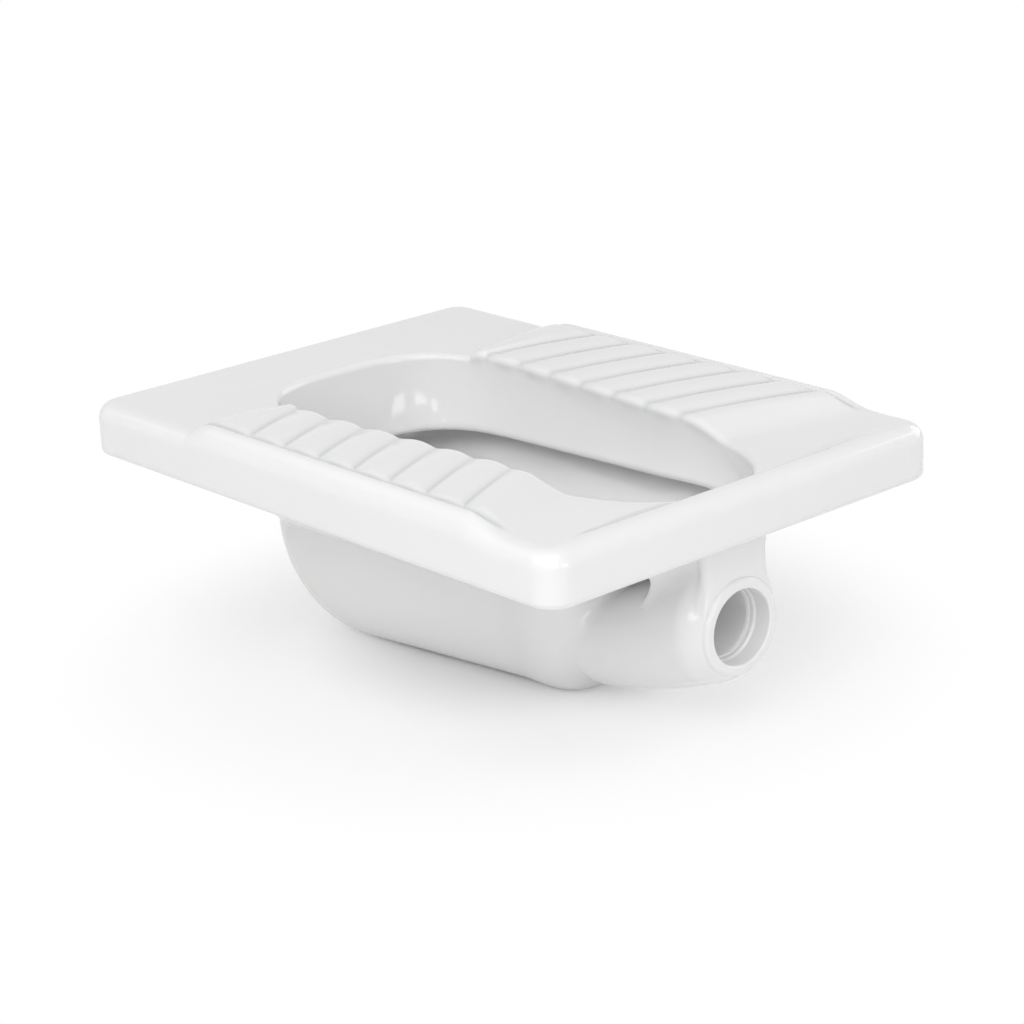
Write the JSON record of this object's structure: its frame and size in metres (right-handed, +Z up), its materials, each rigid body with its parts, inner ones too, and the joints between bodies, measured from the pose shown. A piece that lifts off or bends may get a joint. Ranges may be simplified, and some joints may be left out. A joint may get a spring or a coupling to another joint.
{
  "type": "squat toilet pan",
  "caption": "White glazed ceramic squat toilet pan with ribbed footrests, a box flush rim and an integral trap with a rear outlet.",
  "frame": {"origin": "plan centre of the deck, at the level of the flat underside that the pan stands on", "axes": "+X along the pan towards the outlet, +Y across it, +Z up"},
  "size_m": [0.6, 0.435, 0.2257],
  "materials": {
    "white_glaze": "glossy white glaze over vitreous china"
  },
  "bodies": {
    "root": {"deck": "white_glaze", "left_footrest": "white_glaze", "right_footrest": "white_glaze", "flush_rim": "white_glaze", "bowl": "white_glaze", "trap": "white_glaze", "outlet_spigot": "white_glaze", "trap_support": "white_glaze", "flush_inlet": "white_glaze"}
  },
  "joints": []
}
